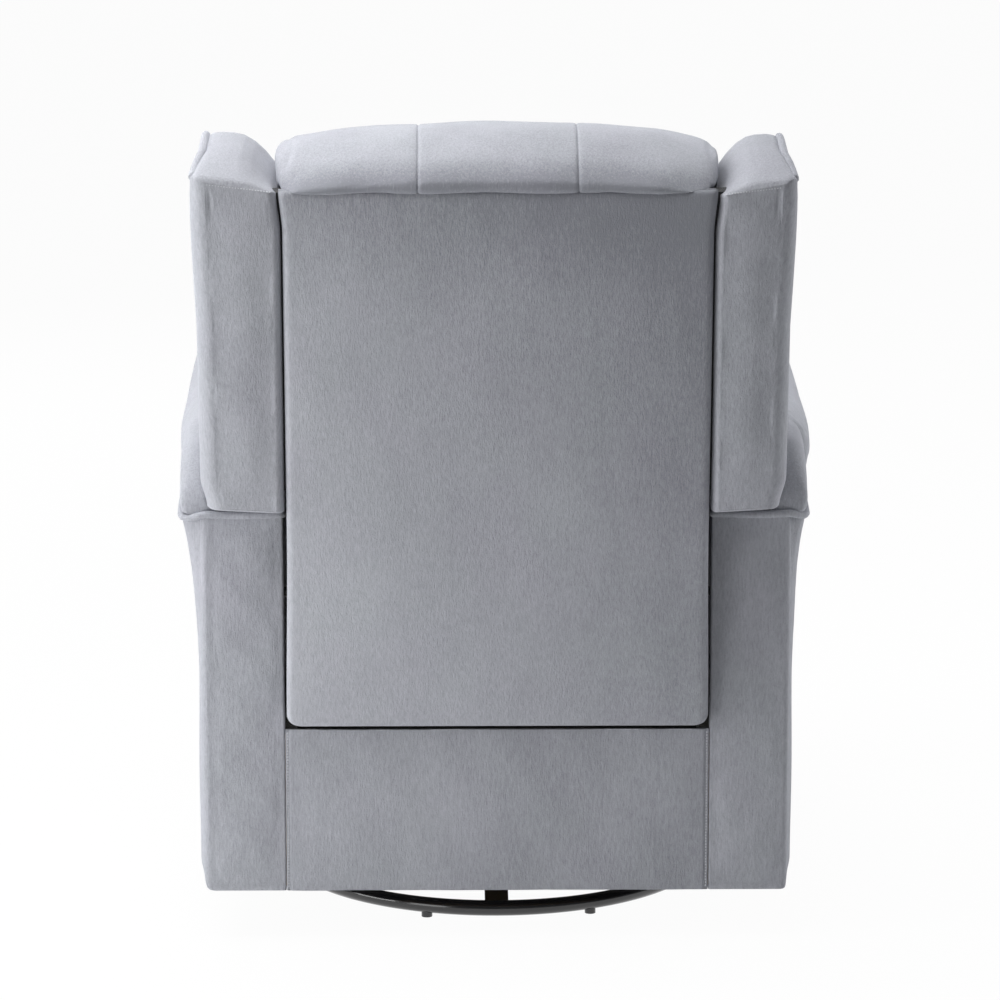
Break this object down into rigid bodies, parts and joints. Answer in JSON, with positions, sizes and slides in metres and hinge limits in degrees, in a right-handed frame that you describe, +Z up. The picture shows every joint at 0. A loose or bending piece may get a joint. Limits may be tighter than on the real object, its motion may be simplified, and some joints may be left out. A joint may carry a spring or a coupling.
{
  "type": "swivel glider recliner",
  "caption": "Upholstered armchair that swivels on a round floor ring, glides on hanging links, and has a reclining winged back and a folding footrest.",
  "frame": {"origin": "on the floor, on the swivel axis, which is the middle of the chair's width and depth", "axes": "+Z up along the swivel axis, the sitter faces -Y, +X is the sitter's left"},
  "size_m": [0.817, 0.951, 1.0461],
  "materials": {
    "black_steel": "gloss black paint",
    "bright_steel": "zinc plated",
    "frame_steel": "satin black paint",
    "timber": "raw hardwood and plywood",
    "velvet": "light grey velvet with a soft sheen",
    "webbing": "dark woven webbing",
    "cable_sheath": "black sheath"
  },
  "bodies": {
    "base": {"floor_ring": "black_steel", "ring_feet": "black_steel", "ring_spokes": "black_steel", "lower_race": "bright_steel", "bearing_balls": "bright_steel", "centre_bolt": "bright_steel"},
    "platform": {"upper_race": "bright_steel", "platform_plate": "frame_steel", "glide_plate_left": "frame_steel", "glide_plate_right": "frame_steel", "upper_glide_pins": "bright_steel"},
    "front_glide_links": {"front_glide_link_left": "bright_steel", "front_glide_link_right": "bright_steel"},
    "rear_glide_links": {"rear_glide_link_left": "bright_steel", "rear_glide_link_right": "bright_steel"},
    "back": {"back_post_left": "timber", "back_post_right": "timber", "back_cross_rails": "timber", "back_webbing": "webbing", "rear_cover_panel": "velvet", "back_cushion": "velvet", "hinge_bracket_left": "frame_steel", "hinge_bracket_right": "frame_steel", "wing_board_left": "timber", "wing_board_right": "timber", "wing_left": "velvet", "wing_right": "velvet"},
    "front_swing": {"front_swing_links": "bright_steel", "torque_tube": "frame_steel"},
    "rear_swing": {"rear_swing_links": "bright_steel"},
    "carrier": {"carrier_links": "bright_steel"},
    "relay": {"relay_links": "bright_steel"},
    "footrest": {"footrest_brackets": "bright_steel", "footrest_board": "timber", "footrest_pad": "velvet"},
    "pull_tab": {"pull_tab": "webbing"},
    "trip_lever": {"trip_lever": "bright_steel"},
    "chair": {"glide_rail_right": "frame_steel", "glide_rail_left": "frame_steel", "lower_glide_pins": "bright_steel", "front_cross_rail": "frame_steel", "rear_cross_rail": "frame_steel", "mechanism_plate_right": "frame_steel", "mechanism_plate_left": "frame_steel", "linkage_studs": "bright_steel", "arm_frame_right": "timber", "arm_frame_left": "timber", "arm_cover_right": "velvet", "arm_cover_left": "velvet", "arm_pad_right": "velvet", "arm_pad_left": "velvet", "rear_base_board": "timber", "lower_rear_panel": "velvet", "seat_front_rail": "timber", "seat_rear_rail": "timber", "seat_straps": "webbing", "seat_cushion": "velvet", "recline_pins": "bright_steel", "release_bracket": "frame_steel", "release_cable": "cable_sheath"}
  },
  "joints": [
    {"name": "swivel", "type": "hinge", "parent": "base", "child": "platform", "pos_m": [0, 0, 0.034], "axis": [0, 0, 1], "continuous": true},
    {"name": "glide", "type": "hinge", "parent": "platform", "child": "front_glide_links", "pos_m": [0, -0.1, 0.225], "axis": [1, 0, 0], "range_deg": [-25, 25]},
    {"name": "rear_glide", "type": "hinge", "parent": "platform", "child": "rear_glide_links", "pos_m": [0, 0.1, 0.225], "axis": [1, 0, 0], "range_deg": [-25, 25]},
    {"name": "seat_glide", "type": "hinge", "parent": "front_glide_links", "child": "chair", "pos_m": [0, -0.1, 0.095], "axis": [1, 0, 0], "range_deg": [-25, 25]},
    {"name": "recline", "type": "hinge", "parent": "chair", "child": "back", "pos_m": [0, 0.31, 0.44], "axis": [-1, 0, 0], "range_deg": [0, 35]},
    {"name": "footrest_fold", "type": "hinge", "parent": "chair", "child": "front_swing", "pos_m": [0, -0.27, 0.3], "axis": [-1, 0, 0], "range_deg": [0, 84]},
    {"name": "rear_swing_fold", "type": "hinge", "parent": "chair", "child": "rear_swing", "pos_m": [0, -0.21, 0.293], "axis": [-1, 0, 0], "range_deg": [0, 84]},
    {"name": "carrier_fold", "type": "hinge", "parent": "front_swing", "child": "carrier", "pos_m": [0, -0.18865, 0.11729], "axis": [-1, 0, 0], "range_deg": [-84, 0]},
    {"name": "relay_fold", "type": "hinge", "parent": "front_swing", "child": "relay", "pos_m": [0, -0.18489, 0.15309], "axis": [-1, 0, 0], "range_deg": [-84, 0]},
    {"name": "board_turn", "type": "hinge", "parent": "carrier", "child": "footrest", "pos_m": [0, -0.378, 0.29], "axis": [-1, 0, 0], "range_deg": [0, 84]},
    {"name": "tab_pull", "type": "slide", "parent": "chair", "child": "pull_tab", "axis": [0, 0, 1], "range_m": [0, 0.02], "stiffness_N_per_m": 300},
    {"name": "trip", "type": "hinge", "parent": "chair", "child": "trip_lever", "pos_m": [0, -0.24, 0.31], "axis": [-1, 0, 0], "range_deg": [0, 10]}
  ],
  "couplings": [
    {"joint": "rear_glide", "follows": "glide", "ratio": 1},
    {"joint": "seat_glide", "follows": "glide", "ratio": -1},
    {"joint": "rear_swing_fold", "follows": "footrest_fold", "ratio": 1},
    {"joint": "carrier_fold", "follows": "footrest_fold", "ratio": -1},
    {"joint": "relay_fold", "follows": "footrest_fold", "ratio": -1},
    {"joint": "board_turn", "follows": "footrest_fold", "ratio": 1},
    {"joint": "trip", "follows": "tab_pull", "rad_per_m": 8.7266}
  ]
}
